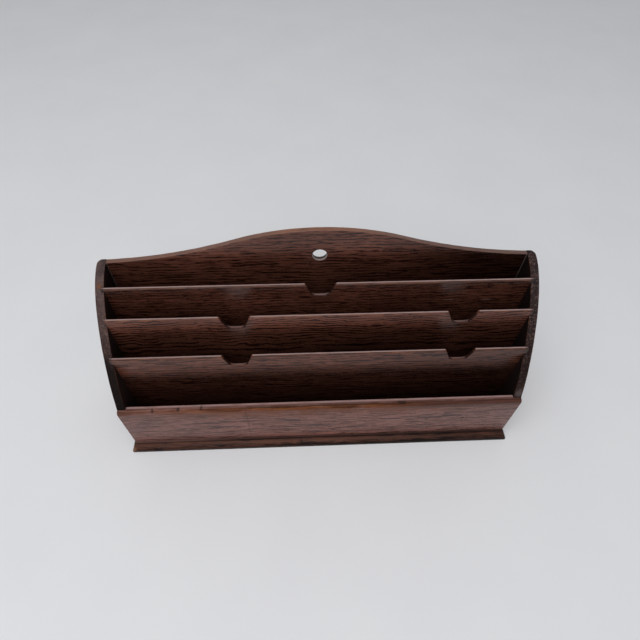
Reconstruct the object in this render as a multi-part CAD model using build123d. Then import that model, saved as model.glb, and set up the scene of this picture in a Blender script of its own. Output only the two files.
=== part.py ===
from build123d import *
import math
import os

# Body, in millimetres
outer_width = 376.0
end_thickness = 7.5
front_thickness = 7.0
divider_thickness = 2.8
back_thickness = 4.7
divider_pitch = 19.5
divider_count = 3

# Base board and its moulded edge
base_thickness = 10.5
base_side_overhang = 3.8
base_front_overhang = 7.1
ledge_height = 6.2
nose_radius = 4.5
riser_inset = 6.4
cove_radius = 1.7

# Heights above the surface it stands on
front_height = 70.9
end_foot_height = 71.6
end_top_height = 179.2
shoulder_height = 179.2
crest_height = 210.5

# Swept front edge of the ends
sweep_top_reach = 34.7
sweep_foot_reach = 42.6
sweep_foot_angle = 72.0
sweep_steps = 40

# Crest of the back and the hanging hole
crest_turn_shares = (0.39, 0.642)
hole_radius = 6.3
hole_drop = 27.3

# Finger notches
notch_top_width = 25.5
notch_floor_width = 14.4
notch_depth = 13.8
notch_floor_round = 6.2
notch_brow_round = 1.8
rear_notch_x = 0.0
left_notch_x = -73.7
right_notch_x = 122.2

# Joinery
groove_depth = 2.4
groove_clearance = 0.05
rabbet_depth = 3.2
front_divider_rise = 1.6
middle_divider_rise = 2.0
rear_divider_rise = 0.5
front_top_round = 3.8
divider_top_round = 1.0
end_rear_round = 5.0

# Screws up through the base
screw_radius = 1.75
screw_head_radius = 3.4
screw_head_height = 1.9
screw_sink = 0.4
screw_length = 25.0
screw_point_length = 5.0
screw_point_radius = 0.35
screw_slot_width = 0.9
screw_slot_depth = 0.9
front_screw_spacing = 140.0
front_screw_count = 3

# Pins through the ends into the back
pin_radius = 0.7
pin_head_radius = 1.3
pin_head_height = 0.8
pin_sink = 2.2
pin_length = 24.0
pin_height_shares = (0.14, 0.48, 0.82)

# Fit of the fasteners and overrun of the cuts
hole_clearance = 0.05
overrun = 2.0

# Places worked out from the sizes above
pocket_count = divider_count + 1
overall_depth = base_front_overhang + front_thickness + pocket_count * divider_pitch + back_thickness
base_width = outer_width + 2 * base_side_overhang
inner_width = outer_width - 2 * end_thickness
base_front_y = -overall_depth / 2
front_face_y = base_front_y + base_front_overhang
front_inside_y = front_face_y + front_thickness
end_front_y = front_inside_y - rabbet_depth
back_rear_y = overall_depth / 2
back_face_y = back_rear_y - back_thickness
end_centre_x = (outer_width - end_thickness) / 2
front_centre_y = front_face_y + front_thickness / 2
back_centre_y = back_face_y + back_thickness / 2
hole_height = crest_height - hole_drop
front_pocket_y = front_inside_y + (divider_pitch - divider_thickness) / 2
rear_pocket_y = back_face_y - divider_pitch / 2


# A block between two corners
def block(low_x, high_x, low_y, high_y, low_z, high_z):
    box = Box(high_x - low_x, high_y - low_y, high_z - low_z, align=(Align.MIN, Align.MIN, Align.MIN))
    return Pos(low_x, low_y, low_z) * box


# The swept edge in the plane of an end, from its rear top corner to its foot
sweep_angle = math.radians(sweep_foot_angle)
sweep_curve = Bezier(
    (back_rear_y, end_top_height),
    (back_rear_y - sweep_top_reach, end_top_height),
    (
        end_front_y + sweep_foot_reach * math.cos(sweep_angle),
        end_foot_height + sweep_foot_reach * math.sin(sweep_angle),
    ),
    (end_front_y, end_foot_height),
)


# Height of the swept edge at one depth
def sweep_height(y):
    near = 0.0
    far = 1.0
    for _ in range(sweep_steps):
        middle = (near + far) / 2
        if (sweep_curve @ middle).X > y:
            near = middle
        else:
            far = middle
    return (sweep_curve @ near).Y


# Rear face of each divider, from the front one to the rear one
def divider_rear_y(index):
    return front_inside_y + (index + 1) * divider_pitch


# Places of the screws, as x and y
def screw_places():
    places = []
    for side in (-1, 1):
        for y in (front_pocket_y, rear_pocket_y):
            places.append((side * end_centre_x, y))
    for index in range(front_screw_count):
        x = (index - (front_screw_count - 1) / 2) * front_screw_spacing
        places.append((x, front_centre_y))
    return places


# One screw as a turned solid, larger by a clearance when it is the hole for it
def screw(clearance):
    shank = screw_radius + clearance
    head = screw_head_radius + clearance
    point = screw_point_radius + clearance
    point_start = screw_length - screw_point_length
    outline = Polyline(
        (0, 0),
        (head, 0),
        (shank, screw_head_height),
        (shank, point_start),
        (point, screw_length + clearance),
        (0, screw_length + clearance),
        close=True,
    )
    return revolve(Plane.XZ * make_face(outline), Axis.Z)


# Every screw hole, with the countersink left open to the underside
def screw_holes():
    holes = []
    for x, y in screw_places():
        holes.append(Pos(x, y, screw_sink) * screw(hole_clearance))
        downwards = (Align.CENTER, Align.CENTER, Align.MAX)
        mouth = Cylinder(screw_head_radius + hole_clearance, screw_sink + overrun, align=downwards)
        holes.append(Pos(x, y, screw_sink) * mouth)
    return holes


# Places of the pins, as side and height
def pin_places():
    places = []
    for side in (-1, 1):
        for share in pin_height_shares:
            places.append((side, base_thickness + share * (end_top_height - base_thickness)))
    return places


# Where a pin starts, pointing into the body from the outer face of an end
def pin_plane(side, height):
    start_x = side * (outer_width / 2 - pin_sink)
    return Plane((start_x, back_centre_y, height), x_dir=(0, 1, 0), z_dir=(-side, 0, 0))


# One pin lying along x, larger by a clearance when it is the hole for it
def pin(side, height, clearance):
    from_head = (Align.CENTER, Align.CENTER, Align.MIN)
    shank = Cylinder(pin_radius + clearance, pin_length + clearance, align=from_head)
    head = Cylinder(pin_head_radius + clearance, pin_head_height, align=from_head)
    return pin_plane(side, height) * (shank + head)


# Every pin hole, left open above the sunk head
def pin_holes():
    holes = []
    for side, height in pin_places():
        holes.append(pin(side, height, hole_clearance))
        to_outside = (Align.CENTER, Align.CENTER, Align.MAX)
        mouth = Cylinder(pin_head_radius + hole_clearance, pin_sink + overrun, align=to_outside)
        holes.append(pin_plane(side, height) * mouth)
    return holes


# Base board with its nose, ledge, cove and riser
def make_base():
    slab = extrude(Rectangle(base_width, overall_depth), ledge_height)
    rim = slab.faces().sort_by(Axis.Z)[-1].edges().sort_by(Axis.Y)[:-1]
    slab = fillet(rim, nose_radius)
    half = outer_width / 2
    step = block(-half, half, base_front_y + riser_inset, back_rear_y, ledge_height - overrun, base_thickness)
    board = slab + step
    inner_corner = [
        edge
        for edge in board.edges().filter_by(Axis.X)
        if abs(edge.center().Z - ledge_height) < groove_clearance
        and abs(edge.center().Y - base_front_y - riser_inset) < groove_clearance
    ]
    board = fillet(inner_corner, cove_radius)
    return board - screw_holes()


# Low front board with a rabbet behind each end
def make_front():
    half = outer_width / 2
    board = block(-half, half, front_face_y, front_inside_y, base_thickness, front_height)
    for side in (-1, 1):
        inner = side * (half - end_thickness)
        outer = side * (half + overrun)
        rabbet = block(
            min(inner, outer), max(inner, outer), end_front_y, front_inside_y + overrun,
            base_thickness - overrun, front_height + overrun,
        )
        board = board - rabbet
    top = board.faces().sort_by(Axis.Z)[-1]
    board = fillet(top.edges().sort_by(Axis.Y)[0], front_top_round)
    return board - screw_holes()


# One end panel with its through grooves
def make_end(side):
    outline = sweep_curve + Polyline(
        (end_front_y, end_foot_height),
        (end_front_y, base_thickness),
        (back_rear_y, base_thickness),
        (back_rear_y, end_top_height),
    )
    face = make_face(outline)
    plane = Plane((side * outer_width / 2, 0, 0), x_dir=(0, 1, 0), z_dir=(1, 0, 0))
    panel = extrude(plane * face, -side * end_thickness)
    rear_edges = panel.edges().filter_by(Axis.Z).group_by(Axis.Y)[-1]
    panel = fillet(rear_edges.sort_by(Axis.X)[-1 if side > 0 else 0], end_rear_round)
    inner = side * inner_width / 2
    floor = inner + side * groove_depth
    open_side = inner - side * overrun
    for index in range(divider_count):
        rear = divider_rear_y(index)
        panel = panel - block(
            min(open_side, floor), max(open_side, floor),
            rear - divider_thickness - groove_clearance, rear + groove_clearance,
            base_thickness - overrun, end_top_height + overrun,
        )
    return panel - screw_holes() - pin_holes()


# Outline of one finger notch, open at the top
def notch_outline(x, top):
    floor = top - notch_depth
    lift = overrun / notch_depth * (notch_top_width - notch_floor_width) / 2
    return Polyline(
        (x - notch_floor_width / 2, floor),
        (x + notch_floor_width / 2, floor),
        (x + notch_top_width / 2 + lift, top + overrun),
        (x - notch_top_width / 2 - lift, top + overrun),
        close=True,
    )


# One divider housed in the ends, with its notches and its eased top
def make_divider(index, rise, notch_places):
    rear = divider_rear_y(index)
    top = sweep_height(rear) + rise
    half = inner_width / 2 + groove_depth - groove_clearance
    face = Pos(0, (base_thickness + top) / 2) * Rectangle(2 * half, top - base_thickness)
    for x in notch_places:
        face = face - make_face(notch_outline(x, top))
    inside = face.vertices().filter_by(lambda v: abs(v.X) < half - notch_brow_round)
    floor_corners = inside.filter_by(lambda v: v.Y < top - notch_depth / 2)
    face = fillet(floor_corners, notch_floor_round)
    brow_corners = face.vertices().filter_by(
        lambda v: abs(v.X) < half - notch_brow_round and abs(v.Y - top) < groove_clearance
    )
    face = fillet(brow_corners, notch_brow_round)
    plane = Plane((0, rear, 0), x_dir=(1, 0, 0), z_dir=(0, -1, 0))
    board = extrude(plane * face, divider_thickness)
    front = board.faces().sort_by(Axis.Y)[0]
    upper = [
        edge
        for edge in front.edges()
        if edge.center().Z > top - notch_depth - notch_brow_round and abs(edge.center().X) < half - groove_clearance
    ]
    return fillet(upper, divider_top_round)


# Back board between the ends, with its crest and its hole
def make_back():
    half = inner_width / 2
    across_share, height_share = crest_turn_shares
    turn = (across_share * half, shoulder_height + height_share * (crest_height - shoulder_height))
    crown = TangentArc((0, crest_height), turn, tangent=(1, 0))
    hollow = TangentArc(turn, (half, shoulder_height), tangent=crown % 1)
    right = [crown, hollow]
    left = [mirror(curve, Plane.YZ) for curve in right]
    rest = Polyline(
        (half, shoulder_height),
        (half, base_thickness),
        (-half, base_thickness),
        (-half, shoulder_height),
    )
    face = make_face([*right, *left, *rest.edges()])
    face = face - Pos(0, hole_height) * Circle(hole_radius)
    plane = Plane((0, back_rear_y, 0), x_dir=(1, 0, 0), z_dir=(0, -1, 0))
    board = extrude(plane * face, back_thickness)
    return board - pin_holes()


# All the screws as separate solids in one group
def make_screws():
    slot = block(
        -screw_head_radius - overrun, screw_head_radius + overrun,
        -screw_slot_width / 2, screw_slot_width / 2, -overrun, screw_slot_depth,
    )
    one = screw(0) - slot
    return Compound([Pos(x, y, screw_sink) * one for x, y in screw_places()])


# All the pins as separate solids in one group
def make_pins():
    return Compound([pin(side, height, 0) for side, height in pin_places()])


os.makedirs("parts", exist_ok=True)
export_step(make_base(), "parts/base_board.step")
export_step(make_front(), "parts/front_board.step")
export_step(make_end(-1), "parts/left_end.step")
export_step(make_end(1), "parts/right_end.step")
export_step(make_divider(0, front_divider_rise, (left_notch_x, right_notch_x)), "parts/front_divider.step")
export_step(make_divider(1, middle_divider_rise, (left_notch_x, right_notch_x)), "parts/middle_divider.step")
export_step(make_divider(2, rear_divider_rise, (rear_notch_x,)), "parts/rear_divider.step")
export_step(make_back(), "parts/back_board.step")
export_step(make_screws(), "parts/base_screws.step")
export_step(make_pins(), "parts/back_pins.step")
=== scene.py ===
import math

import bmesh
import bpy
from mathutils import Matrix, Vector, kdtree, noise


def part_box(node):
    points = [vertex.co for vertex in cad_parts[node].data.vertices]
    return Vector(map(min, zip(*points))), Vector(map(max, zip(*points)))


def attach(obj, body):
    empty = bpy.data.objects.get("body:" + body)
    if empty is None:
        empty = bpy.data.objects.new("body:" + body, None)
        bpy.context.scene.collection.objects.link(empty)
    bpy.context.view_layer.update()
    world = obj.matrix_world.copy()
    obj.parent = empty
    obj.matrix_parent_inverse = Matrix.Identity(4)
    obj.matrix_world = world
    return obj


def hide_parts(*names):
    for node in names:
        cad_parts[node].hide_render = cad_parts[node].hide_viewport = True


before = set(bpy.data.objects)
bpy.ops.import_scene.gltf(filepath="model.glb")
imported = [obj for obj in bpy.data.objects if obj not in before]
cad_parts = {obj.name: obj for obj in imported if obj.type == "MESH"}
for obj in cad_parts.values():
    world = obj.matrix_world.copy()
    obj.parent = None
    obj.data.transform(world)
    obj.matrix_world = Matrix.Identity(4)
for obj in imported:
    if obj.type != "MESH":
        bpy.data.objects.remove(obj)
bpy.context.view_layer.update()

# Units and axes
MM = 0.001
TO_MM = (1000, 1000, 1000)
X, Y, Z = 0, 1, 2
FACE = (X, Z, Y)
FLAT = (X, Y, Z)
UPRIGHT = (Z, Y, X)
WELD = 0.002 * MM

# Each board has its own grain and wear
SEEDS = {
    "base_board": 3, "front_board": 5, "front_divider": 8, "middle_divider": 13,
    "rear_divider": 17, "back_board": 21, "left_end": 26, "right_end": 31,
}

# Mesh density, corners and shading
OUTLINE_STEP = 1.5 * MM
ROUND_STEPS = 5
CORNER_STEPS = 4
LATHE_STEPS = 28
SHARP_TURN = math.radians(150)
CURVE_SHARE = 0.45
MITRE_LIMIT = 0.5
FLAT_WEIGHT = 90

# Eased edges of the boards
SMALL_ROUND = 0.3 * MM
ARRIS_ROUND = 0.5 * MM
DIVIDER_FRONT_ROUND = 0.7 * MM
DIVIDER_REAR_ROUND = 0.3 * MM
END_REAR_ROUND = 5.0 * MM
CORNER_ROUND = 0.6 * MM
CORNER_EASE = 0.15 * MM
TOP_FACING = 0.3
SWEEP_FACING = 0.05

# Wear of the edges
WEAR_PITCH = 9 * MM
WEAR_SHARE = 0.5
FINE_WEAR = 3.7
FINE_WEAR_SHARE = 0.25
FAR_SEED = 7
EDGE_RUB = 0.3
WOBBLE = 0.06 * MM
WOBBLE_FINENESS = 1.9
NOSE_WEAR = 1.2 * MM

# Wear of the front board's top, most at its middle
WORN_MIDDLE = -5 * MM
WORN_REACH = 125 * MM
WORN_FALL = 4
DIP_FINENESS = 2.6
DIP_SHARE = 0.6
LEAST_RUB = 0.2
RUB_START, RUB_RISE = 0.1, 0.3
RUB_END, RUB_FALL = 0.995, 0.07

# Moulded edge of the base board
NOSE_RADIUS = 4.5 * MM
LEDGE_HEIGHT = 6.2 * MM
RISER_INSET = 6.4 * MM
COVE_RADIUS = 1.7 * MM
BASE_CORNER = 1.0 * MM

# Joints and fastener holes
GROOVE_CLEARANCE = 0.05 * MM
OVERRUN = 2.0 * MM
PIN_HOLE_RADIUS = 1.35 * MM
SCREW_HEAD_RADIUS = 3.45 * MM
SCREW_HEAD_SPREAD = 2.2 * SCREW_HEAD_RADIUS
SCREW_HOLE_RADIUS = 1.8 * MM
SCREW_SINK = 0.4 * MM
SCREW_HEAD_HEIGHT = 1.9 * MM


# Boundary loops of a node's flat faces that look along one axis, longest first
def flat_outlines(node, axis, side):
    mesh = bmesh.new()
    mesh.from_mesh(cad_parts[node].data)
    bmesh.ops.remove_doubles(mesh, verts=mesh.verts, dist=WELD)
    level = max(side * v.co[axis] for v in mesh.verts)
    flat = {f for f in mesh.faces if all(abs(side * v.co[axis] - level) < WELD for v in f.verts)}
    beside = {}
    for edge in mesh.edges:
        if sum(f in flat for f in edge.link_faces) == 1:
            a, b = edge.verts
            beside.setdefault(a, []).append(b)
            beside.setdefault(b, []).append(a)
    loops = []
    while beside:
        start = next(iter(beside))
        loop = [start]
        while True:
            ways = [v for v in beside[loop[-1]] if v in beside and v not in loop[-2:]]
            ways = [v for v in ways if v is not start or len(loop) > 2]
            if not ways or ways[0] is start:
                break
            loop.append(ways[0])
        for v in loop:
            beside.pop(v)
        loops.append([v.co.copy() for v in loop])
    mesh.free()
    loops.sort(key=lambda points: -sum((a - b).length for a, b in zip(points, points[1:])))
    return loops


# Convex outline of a node seen along x, as y and z
def side_outline(node):
    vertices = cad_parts[node].data.vertices
    points = sorted({(round(v.co.y / WELD), round(v.co.z / WELD)) for v in vertices})
    hull = []
    for sweep in (points, points[::-1]):
        start = len(hull)
        for p in sweep:
            while len(hull) - start > 1 and turn(hull[-2], hull[-1], p) <= 0:
                hull.pop()
            hull.append(p)
        hull.pop()
    return [Vector(p) * WELD for p in hull]


# Twice the signed area of a corner
def turn(a, b, c):
    return (b[0] - a[0]) * (c[1] - a[1]) - (b[1] - a[1]) * (c[0] - a[0])


# A loop of 2D points turned the way that keeps the wood on its left
def wound(loop, hole=False):
    area = sum(a.x * b.y - a.y * b.x for a, b in zip(loop, loop[1:] + loop[:1]))
    return loop if (area > 0) != hole else loop[::-1]


# Sharp corners of a loop replaced by short curves
def soften(loop, radius):
    points = []
    for i, corner in enumerate(loop):
        before = loop[i - 1] - corner
        after = loop[(i + 1) % len(loop)] - corner
        opening = before.angle(after)
        if opening > SHARP_TURN:
            points.append(corner)
            continue
        reach = radius / math.tan(opening / 2)
        reach = min(reach, before.length * CURVE_SHARE, after.length * CURVE_SHARE)
        start = corner + before.normalized() * reach
        end = corner + after.normalized() * reach
        for k in range(CORNER_STEPS + 1):
            t = k / CORNER_STEPS
            points.append(start * (1 - t) ** 2 + corner * 2 * t * (1 - t) + end * t ** 2)
    return points


# A loop with its long stretches divided evenly
def divided(loop, step=OUTLINE_STEP):
    points = []
    for a, b in zip(loop, loop[1:] + loop[:1]):
        count = max(1, round((b - a).length / step))
        points += [a.lerp(b, k / count) for k in range(count)]
    return points


# Direction into the wood at each point of a loop, longer at corners so that an inset stays even
def inward(loop):
    directions = []
    for i, p in enumerate(loop):
        a = (p - loop[i - 1]).normalized()
        b = (loop[(i + 1) % len(loop)] - p).normalized()
        mean = Vector((-a.y - b.y, a.x + b.x)).normalized()
        directions.append(mean / max(MITRE_LIMIT, mean.dot(Vector((-a.y, a.x)))))
    return directions


# Rings of one loop from the near face over the rim to the far face, as inset, depth and exposure
def rim(near, far, depth):
    rings = []
    for k in range(ROUND_STEPS + 1):
        a = math.pi / 2 * k / ROUND_STEPS
        rings.append((near * (1 - math.sin(a)), near * (1 - math.cos(a)), exposure(a)))
    for k in range(ROUND_STEPS, -1, -1):
        a = math.pi / 2 * k / ROUND_STEPS
        rings.append((far * (1 - math.sin(a)), depth - far * (1 - math.cos(a)), exposure(a)))
    return rings


# How much an arris is rubbed: none on the face, most at the turn, some on the edge
def exposure(angle):
    return max(math.sin(2 * angle), EDGE_RUB * math.sin(angle))


# Worn size of a rounding at a place, from smooth noise
def worn(radius, place, seed):
    swing = noise.noise(place / WEAR_PITCH + Vector((seed, 0, 0)))
    fine = noise.noise(place / WEAR_PITCH * FINE_WEAR + Vector((0, seed, 0)))
    return radius * (1 + WEAR_SHARE * swing + FINE_WEAR_SHARE * fine)


# A board made from its outline: flat faces and a rim with worn roundings
def board_mesh(loops, place, depth, roundings, seed):
    mesh = bmesh.new()
    rubbed = mesh.verts.layers.float.new("edge")
    near_loops, far_loops = [], []
    for loop in loops:
        columns = []
        for p, into in zip(loop, inward(loop)):
            spot = place(p, depth / 2)
            near, far, rub = roundings(p, -into.normalized())
            swing = 1 + noise.noise(spot / WEAR_PITCH * WOBBLE_FINENESS + Vector((0, 0, seed)))
            wobble = WOBBLE * swing * (near > SMALL_ROUND)
            column = []
            for inset, level, bare in rim(worn(near, spot, seed), worn(far, spot, seed + FAR_SEED), depth):
                v = mesh.verts.new(place(p + into * (inset + wobble), level))
                v[rubbed] = rub * bare
                column.append(v)
            columns.append(column)
        for a, b in zip(columns, columns[1:] + columns[:1]):
            for k in range(len(a) - 1):
                mesh.faces.new((a[k], b[k], b[k + 1], a[k + 1]))
        near_loops.append([c[0] for c in columns])
        far_loops.append([c[-1] for c in columns])
    for face_loops in (near_loops, far_loops):
        cap(mesh, face_loops)
    return mesh


# One flat face inside its loops
def cap(mesh, face_loops):
    if len(face_loops) == 1:
        mesh.faces.new(face_loops[0])
        return
    edges = []
    for loop in face_loops:
        edges += [mesh.edges.get((a, b)) for a, b in zip(loop, loop[1:] + loop[:1])]
    bmesh.ops.triangle_fill(mesh, use_beauty=True, edges=edges)


# Faces from ring to ring, closed at both ends
def skin(mesh, rings):
    for a, b in zip(rings, rings[1:]):
        for k in range(len(a)):
            n = (k + 1) % len(a)
            mesh.faces.new((a[k], a[n], b[n], b[k]))
    mesh.faces.new(rings[0])
    mesh.faces.new(rings[-1])


# A finished piece that stands for a CAD node
def piece_from(mesh, node, material):
    bmesh.ops.recalc_face_normals(mesh, faces=mesh.faces)
    for face in mesh.faces:
        face.smooth = True
    data = bpy.data.meshes.new("oak_" + node)
    mesh.to_mesh(data)
    mesh.free()
    piece = bpy.data.objects.new("oak_" + node, data)
    bpy.context.scene.collection.objects.link(piece)
    data.materials.append(material)
    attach(piece, "root")
    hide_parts(node)
    return piece


# Even shading across the flats
def weight_normals(piece):
    modifier = piece.modifiers.new("even_flats", "WEIGHTED_NORMAL")
    modifier.weight = FLAT_WEIGHT
    modifier.keep_sharp = True


# A plain object for cutting
def cutter(mesh):
    bmesh.ops.recalc_face_normals(mesh, faces=mesh.faces)
    data = bpy.data.meshes.new("cutter")
    mesh.to_mesh(data)
    mesh.free()
    tool = bpy.data.objects.new("cutter", data)
    bpy.context.scene.collection.objects.link(tool)
    return tool


# A box for cutting, between two corners
def box_cutter(low, high):
    mesh = bmesh.new()
    bmesh.ops.create_cube(mesh, size=1)
    fitted = Matrix.Translation((low + high) / 2) @ Matrix.Diagonal((*(high - low), 1))
    bmesh.ops.transform(mesh, matrix=fitted, verts=mesh.verts)
    return cutter(mesh)


# A turned tool for cutting: radii and levels along an axis from a start
def turned_cutter(start, direction, profile):
    mesh = bmesh.new()
    turn_to = direction.to_track_quat("Z", "Y").to_matrix().to_4x4()
    rings = []
    for radius, level in profile:
        ring = []
        for k in range(LATHE_STEPS):
            a = 2 * math.pi * k / LATHE_STEPS
            point = Vector((radius * math.cos(a), radius * math.sin(a), level))
            ring.append(mesh.verts.new(start + turn_to @ point))
        rings.append(ring)
    skin(mesh, rings)
    return cutter(mesh)


# A piece with tools cut out of it, its rubbed edges carried over
def cut(piece, tools):
    old = piece.data
    finder = kdtree.KDTree(len(old.vertices))
    for i, v in enumerate(old.vertices):
        finder.insert(v.co, i)
    finder.balance()
    values = [d.value for d in old.attributes["edge"].data]
    for tool in tools:
        modifier = piece.modifiers.new("cut", "BOOLEAN")
        modifier.operation = "DIFFERENCE"
        modifier.solver = "EXACT"
        modifier.object = tool
    graph = bpy.context.evaluated_depsgraph_get()
    piece.data = bpy.data.meshes.new_from_object(piece.evaluated_get(graph))
    piece.modifiers.clear()
    for tool in tools:
        bpy.data.objects.remove(tool)
    kept = piece.data.attributes.get("edge")
    if kept is not None:
        piece.data.attributes.remove(kept)
    rubbed = piece.data.attributes.new("edge", "FLOAT", "POINT")
    for i, v in enumerate(piece.data.vertices):
        _, nearest, distance = finder.find(v.co)
        rubbed.data[i].value = values[nearest] if distance < WELD else 0.0


# Where a point of an upright board's outline lies, at a depth behind the board's front
def standing(front):
    def place(p, depth):
        return Vector((p.x, front + depth, p.y))
    return place


# One divider, notched and eased along its top
def make_divider(node, material):
    low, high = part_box(node)
    outline = [Vector((p.x, p.z)) for p in flat_outlines(node, Y, 1)[0]]
    loop = divided(soften(wound(outline), SMALL_ROUND))

    def roundings(p, outward):
        if outward.y > TOP_FACING:
            height = min(1.0, max(0.0, 1 - (high.z - CORNER_ROUND - p.y) / OVERRUN))
            near = SMALL_ROUND + (DIVIDER_FRONT_ROUND - SMALL_ROUND) * height
            return near, DIVIDER_REAR_ROUND, math.floor(height)
        return SMALL_ROUND, SMALL_ROUND, 0.0

    mesh = board_mesh([loop], standing(low.y), high.y - low.y, roundings, SEEDS[node])
    weight_normals(piece_from(mesh, node, material))


# The low front board: its section carried along x, worn along the top, with a rabbet behind each end
def make_front(material):
    low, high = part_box("front_board")
    seed = SEEDS["front_board"]
    length = high.x - low.x
    loop = divided(soften(wound(side_outline("front_board")), SMALL_ROUND), OUTLINE_STEP / 2)
    normals = inward(loop)
    ends = [(low.x + level, inset) for inset, level, _ in rim(CORNER_EASE, CORNER_EASE, length)]
    count = round(length / OUTLINE_STEP)
    run = length - 2 * CORNER_EASE
    between = [(low.x + CORNER_EASE + run * k / count, 0.0) for k in range(1, count)]
    mesh = bmesh.new()
    rubbed = mesh.verts.layers.float.new("edge")
    rings = []
    for x, inset in ends[:ROUND_STEPS + 1] + between + ends[ROUND_STEPS + 1:]:
        handled = math.exp(-((x - WORN_MIDDLE) / WORN_REACH) ** WORN_FALL)
        ring = []
        for p, into in zip(loop, normals):
            spot = Vector((x, p.x, p.y))
            out = -into.normalized()
            up = max(0.0, out.y)
            swing = noise.noise(spot / WEAR_PITCH + Vector((seed, 0, 0)))
            dip = noise.noise(spot / WEAR_PITCH * DIP_FINENESS + Vector((0, seed, 0)))
            q = p + into * (inset + 2 * WOBBLE * up * (1 + swing + DIP_SHARE * dip))
            v = mesh.verts.new((x, q.x, q.y))
            rise, fall = (up - RUB_START) / RUB_RISE, (RUB_END - up) / RUB_FALL
            turned = min(1.0, max(0.0, rise), max(0.0, fall))
            v[rubbed] = (LEAST_RUB + (1 - LEAST_RUB) * handled) * (out.x < 0) * turned
            ring.append(v)
        rings.append(ring)
    skin(mesh, rings)
    piece = piece_from(mesh, "front_board", material)
    tools = []
    for end_node in ("left_end", "right_end"):
        from_corner, to_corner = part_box(end_node)
        side = 1 if from_corner.x > 0 else -1
        inner = min(abs(from_corner.x), abs(to_corner.x)) * side
        outer = side * (max(abs(from_corner.x), abs(to_corner.x)) + OVERRUN)
        tools.append(box_cutter(
            Vector((min(inner, outer), from_corner.y, low.z - OVERRUN)),
            Vector((max(inner, outer), high.y + OVERRUN, high.z + OVERRUN)),
        ))
    cut(piece, tools)
    weight_normals(piece)


# The back board with its crest and hole
def make_back(material):
    low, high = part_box("back_board")
    outlines = [[Vector((p.x, p.z)) for p in loop] for loop in flat_outlines("back_board", Y, 1)]
    outer = divided(soften(wound(outlines[0]), SMALL_ROUND))
    hole = divided(wound(outlines[1], hole=True), OUTLINE_STEP / 2)
    hole_reach = max(p.x for p in hole) + SMALL_ROUND
    hole_top = max(p.y for p in hole) + SMALL_ROUND

    def roundings(p, outward):
        if (outward.y > TOP_FACING and abs(p.x) > hole_reach) or p.y > hole_top:
            return ARRIS_ROUND, ARRIS_ROUND, 1.0
        return SMALL_ROUND, SMALL_ROUND, 0.0

    mesh = board_mesh([outer, hole], standing(low.y), high.y - low.y, roundings, SEEDS["back_board"])
    weight_normals(piece_from(mesh, "back_board", material))


# One end panel: swept edge, rounded rear corner, grooves and sunk pin holes
def make_end(node, material):
    low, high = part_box(node)
    side = 1 if low.x > 0 else -1
    outer = high.x if side > 0 else low.x
    outline = wound(side_outline(node))
    around = zip(outline[-1:] + outline, outline, outline[1:] + outline)
    corners = [p for a, p, b in around if (a - p).angle(b - p) < SHARP_TURN]
    loop = divided(soften(outline, CORNER_ROUND))

    def place(p, depth):
        return Vector((outer - side * depth, p.x, p.y))

    def roundings(p, outward):
        if min((p - c).length for c in corners) < 2 * CORNER_ROUND:
            return CORNER_EASE, CORNER_EASE, 0.0
        if outward.y > SWEEP_FACING and p.y > low.z + OVERRUN:
            return ARRIS_ROUND, ARRIS_ROUND, 1.0
        return SMALL_ROUND, SMALL_ROUND, 0.0

    mesh = board_mesh([loop], place, high.x - low.x, roundings, SEEDS[node])
    round_rear(mesh, outer, side, high.y, high.x - low.x)
    piece = piece_from(mesh, node, material)
    tools = []
    for divider in ("front_divider", "middle_divider", "rear_divider"):
        from_corner, to_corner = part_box(divider)
        floor = side * (max(abs(from_corner.x), abs(to_corner.x)) + GROOVE_CLEARANCE)
        mouth = side * (min(abs(low.x), abs(high.x)) - OVERRUN)
        tools.append(box_cutter(
            Vector((min(floor, mouth), from_corner.y - GROOVE_CLEARANCE, low.z - OVERRUN)),
            Vector((max(floor, mouth), to_corner.y + GROOVE_CLEARANCE, high.z + OVERRUN)),
        ))
    pins_low, pins_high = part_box("back_pins")
    depth = abs(outer) - pins_high.x + OVERRUN + PIN_HOLE_RADIUS
    for height in pin_heights():
        start = Vector((outer + side * OVERRUN, (pins_low.y + pins_high.y) / 2, height))
        profile = ((PIN_HOLE_RADIUS, 0), (PIN_HOLE_RADIUS, depth))
        tools.append(turned_cutter(start, Vector((-side, 0, 0)), profile))
    cut(piece, tools)
    weight_normals(piece)


# The outer rear corner of an end, rounded over in plan
def round_rear(mesh, outer, side, rear, thickness):
    steps = 2 * ROUND_STEPS
    for k in range(steps):
        y = rear - END_REAR_ROUND * (1 - math.sin(math.pi / 2 * k / steps))
        everything = mesh.verts[:] + mesh.edges[:] + mesh.faces[:]
        bmesh.ops.bisect_plane(mesh, geom=everything, dist=WELD, plane_co=(0, y, 0), plane_no=(0, 1, 0))
    for v in mesh.verts:
        into = v.co.y - (rear - END_REAR_ROUND)
        if into > 0:
            drop = END_REAR_ROUND - math.sqrt(max(0.0, END_REAR_ROUND ** 2 - into ** 2))
            depth = abs(outer - v.co.x)
            v.co.x = outer - side * (drop + depth * (1 - drop / thickness))


# Heights of the pins, read from their own node
def pin_heights():
    heights = sorted(v.co.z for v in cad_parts["back_pins"].data.vertices)
    groups = [[heights[0]]]
    for z in heights[1:]:
        if z - groups[-1][-1] > PIN_HOLE_RADIUS:
            groups.append([])
        groups[-1].append(z)
    return [(g[0] + g[-1]) / 2 for g in groups]


# Middle of each screw, read from their own node
def screw_places():
    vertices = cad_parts["base_screws"].data.vertices
    groups = []
    for p in [v.co for v in vertices if v.co.z < SCREW_SINK + WELD]:
        for group in groups:
            if (group[0] - p).length < SCREW_HEAD_SPREAD:
                group.append(p)
                break
        else:
            groups.append([p])
    places = []
    for g in groups:
        places.append(Vector((
            (min(p.x for p in g) + max(p.x for p in g)) / 2,
            (min(p.y for p in g) + max(p.y for p in g)) / 2,
            0,
        )))
    return places


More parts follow.
